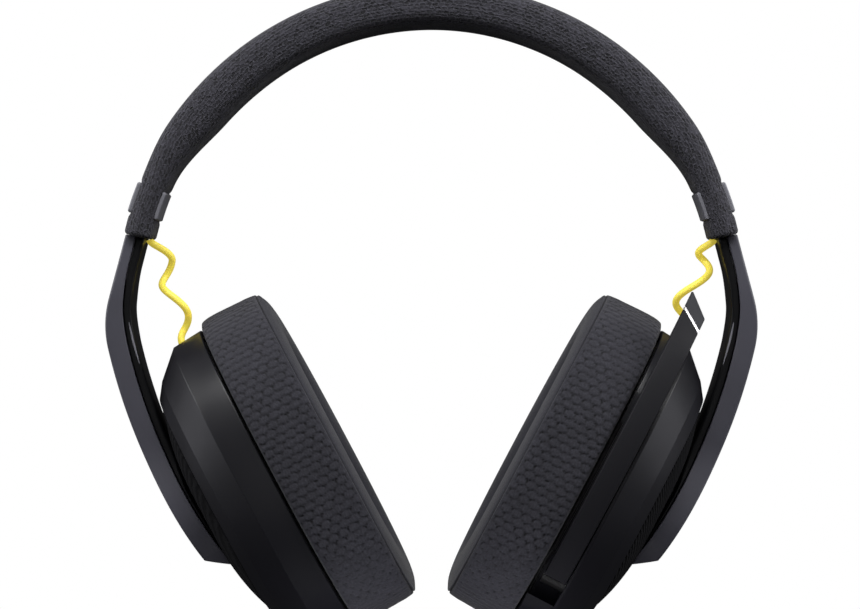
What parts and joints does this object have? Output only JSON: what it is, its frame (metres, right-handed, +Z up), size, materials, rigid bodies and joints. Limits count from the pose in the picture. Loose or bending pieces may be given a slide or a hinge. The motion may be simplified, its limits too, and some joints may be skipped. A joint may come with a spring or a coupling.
{
  "type": "office headset",
  "caption": "Over-ear office headset: padded knit headband, sliding arms, tilting oval ear cups, flip-down microphone boom.",
  "frame": {"origin": "middle of the headband crown's underside", "axes": "+Z up, the wearer faces -Y, +X is the wearer's left"},
  "size_m": [0.181, 0.0836, 0.1801],
  "materials": {
    "knit_charcoal": "matte",
    "cushion_knit": "matte",
    "shell_black": "satin",
    "arm_graphite": "satin",
    "cover_black": "satin",
    "trim_grey": "satin",
    "tip_grey": "satin",
    "silver": "satin",
    "steel": "satin",
    "cord_yellow": "satin",
    "foam_grey": "matte",
    "nylon_black": "matte",
    "board_green": "satin",
    "battery_blue": "satin",
    "film_amber": "satin",
    "light_pipe": "gloss"
  },
  "bodies": {
    "headband": {"headband_cover": "knit_charcoal", "headband_foam": "foam_grey", "headband_carrier": "nylon_black", "headband_spring": "steel", "link_cable": "nylon_black", "slider_housing_left": "nylon_black", "slider_housing_right": "nylon_black", "outer_clip_left": "trim_grey", "outer_clip_right": "trim_grey", "inner_clip_left": "trim_grey", "inner_clip_right": "trim_grey", "cord_left": "cord_yellow", "cord_right": "cord_yellow"},
    "arm_left": {"slider_rail_left": "steel", "arm_shell_left": "arm_graphite", "arm_inner_cover_left": "cover_black", "clevis_left": "nylon_black", "pivot_pin_left": "steel"},
    "gimbal_left": {"gimbal_block_left": "nylon_black"},
    "cup_left": {"cup_shell_left": "shell_black", "outer_panel_left": "nylon_black", "outer_fabric_left": "knit_charcoal", "cup_bracket_left": "nylon_black", "speaker_plate_left": "nylon_black", "cushion_ring_left": "nylon_black", "driver_basket_left": "nylon_black", "driver_magnet_left": "steel", "driver_diaphragm_left": "film_amber", "ear_cushion_left": "cushion_knit", "speaker_scrim_left": "cushion_knit", "boom_pin": "steel", "status_light": "light_pipe", "usb_socket": "steel", "main_board": "board_green"},
    "arm_right": {"slider_rail_right": "steel", "arm_shell_right": "arm_graphite", "arm_inner_cover_right": "cover_black", "clevis_right": "nylon_black", "pivot_pin_right": "steel"},
    "gimbal_right": {"gimbal_block_right": "nylon_black"},
    "cup_right": {"cup_shell_right": "shell_black", "outer_panel_right": "nylon_black", "outer_fabric_right": "knit_charcoal", "cup_bracket_right": "nylon_black", "speaker_plate_right": "nylon_black", "cushion_ring_right": "nylon_black", "driver_basket_right": "nylon_black", "driver_magnet_right": "steel", "driver_diaphragm_right": "film_amber", "ear_cushion_right": "cushion_knit", "speaker_scrim_right": "cushion_knit", "battery_cell": "battery_blue"},
    "boom": {"boom_arm": "shell_black", "boom_ring": "silver", "boom_tip": "tip_grey", "microphone_capsule": "steel"},
    "power_button": {"power_button": "trim_grey"},
    "volume_rocker": {"volume_rocker": "trim_grey"}
  },
  "joints": [
    {"name": "arm_left_slide", "type": "slide", "parent": "headband", "child": "arm_left", "axis": [0.3746, 0, -0.9272], "range_m": [0, 0.024], "deforming": ["cord_left"]},
    {"name": "cup_left_swivel", "type": "hinge", "parent": "arm_left", "child": "gimbal_left", "pos_m": [0.05962, 0, -0.13407], "axis": [0.4695, 0, 0.8829], "range_deg": [-4, 4]},
    {"name": "cup_left_tilt", "type": "hinge", "parent": "gimbal_left", "child": "cup_left", "pos_m": [0.05962, 0, -0.13407], "axis": [0, 1, 0], "range_deg": [-3, 1]},
    {"name": "arm_right_slide", "type": "slide", "parent": "headband", "child": "arm_right", "axis": [-0.3746, 0, -0.9272], "range_m": [0, 0.024], "deforming": ["cord_right"]},
    {"name": "cup_right_swivel", "type": "hinge", "parent": "arm_right", "child": "gimbal_right", "pos_m": [-0.05962, 0, -0.13407], "axis": [-0.4695, 0, 0.8829], "range_deg": [-4, 4]},
    {"name": "cup_right_tilt", "type": "hinge", "parent": "gimbal_right", "child": "cup_right", "pos_m": [-0.05962, 0, -0.13407], "axis": [0, -1, 0], "range_deg": [-3, 1]},
    {"name": "boom_flip", "type": "hinge", "parent": "cup_left", "child": "boom", "pos_m": [0.03023, -0.0282, -0.15185], "axis": [0.8829, 0, -0.4695], "range_deg": [0, 110]},
    {"name": "power_button_press", "type": "slide", "parent": "cup_left", "child": "power_button", "axis": [0, -1, 0], "range_m": [0, 0.0006]},
    {"name": "volume_rocker_tilt", "type": "hinge", "parent": "cup_left", "child": "volume_rocker", "pos_m": [0.04523, 0.0364, -0.13321], "axis": [0.8829, 0, -0.4695], "range_deg": [-4, 4]}
  ]
}
